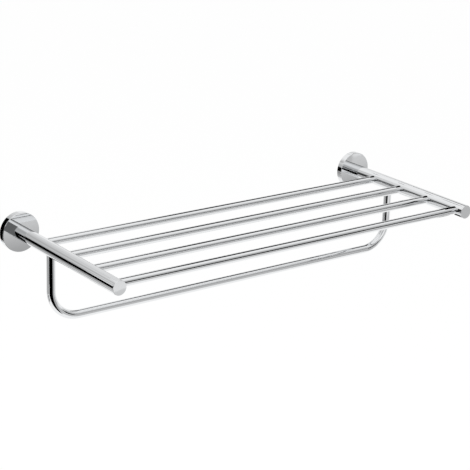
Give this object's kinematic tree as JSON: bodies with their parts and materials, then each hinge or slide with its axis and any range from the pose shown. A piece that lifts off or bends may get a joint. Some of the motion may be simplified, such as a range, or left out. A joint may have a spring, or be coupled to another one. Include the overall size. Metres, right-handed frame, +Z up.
{
  "type": "towel rack with shelf",
  "caption": "Wall-hung chrome rack: a shelf of round rails between two round arms on disc rosettes, with a bent towel bar hung below the arms.",
  "frame": {"origin": "on the wall plane, midway between the two arms and level with their axes", "axes": "+X along the wall, to the right as seen by someone facing the wall; +Y into the wall, so the arms point along -Y; +Z up"},
  "size_m": [0.656, 0.26, 0.135],
  "materials": {
    "chrome_plate": "mirror-polished chrome plating on brass tube and zinc rosettes",
    "bare_brass": "as turned, hidden inside the tubes",
    "bracket_steel": "pressed stainless steel, satin, hidden behind the rosettes",
    "screw_steel": "plain stainless steel"
  },
  "bodies": {
    "root": {"left_wall_bracket": "bracket_steel", "right_wall_bracket": "bracket_steel", "left_rosette": "chrome_plate", "right_rosette": "chrome_plate", "left_grub_screw": "screw_steel", "right_grub_screw": "screw_steel", "left_arm_screw": "screw_steel", "right_arm_screw": "screw_steel", "left_arm_screw_washer": "screw_steel", "right_arm_screw_washer": "screw_steel", "left_arm_insert": "bare_brass", "right_arm_insert": "bare_brass", "left_arm_tube": "chrome_plate", "right_arm_tube": "chrome_plate", "left_arm_end_cap": "chrome_plate", "right_arm_end_cap": "chrome_plate", "shelf_rail_1": "chrome_plate", "shelf_rail_2": "chrome_plate", "shelf_rail_3": "chrome_plate", "shelf_rail_4": "chrome_plate", "rail_1_left_spigot": "bare_brass", "rail_1_right_spigot": "bare_brass", "rail_2_left_spigot": "bare_brass", "rail_2_right_spigot": "bare_brass", "rail_3_left_spigot": "bare_brass", "rail_3_right_spigot": "bare_brass", "rail_4_left_spigot": "bare_brass", "rail_4_right_spigot": "bare_brass", "towel_bar": "chrome_plate", "towel_bar_left_spigot": "bare_brass", "towel_bar_right_spigot": "bare_brass"}
  },
  "joints": []
}
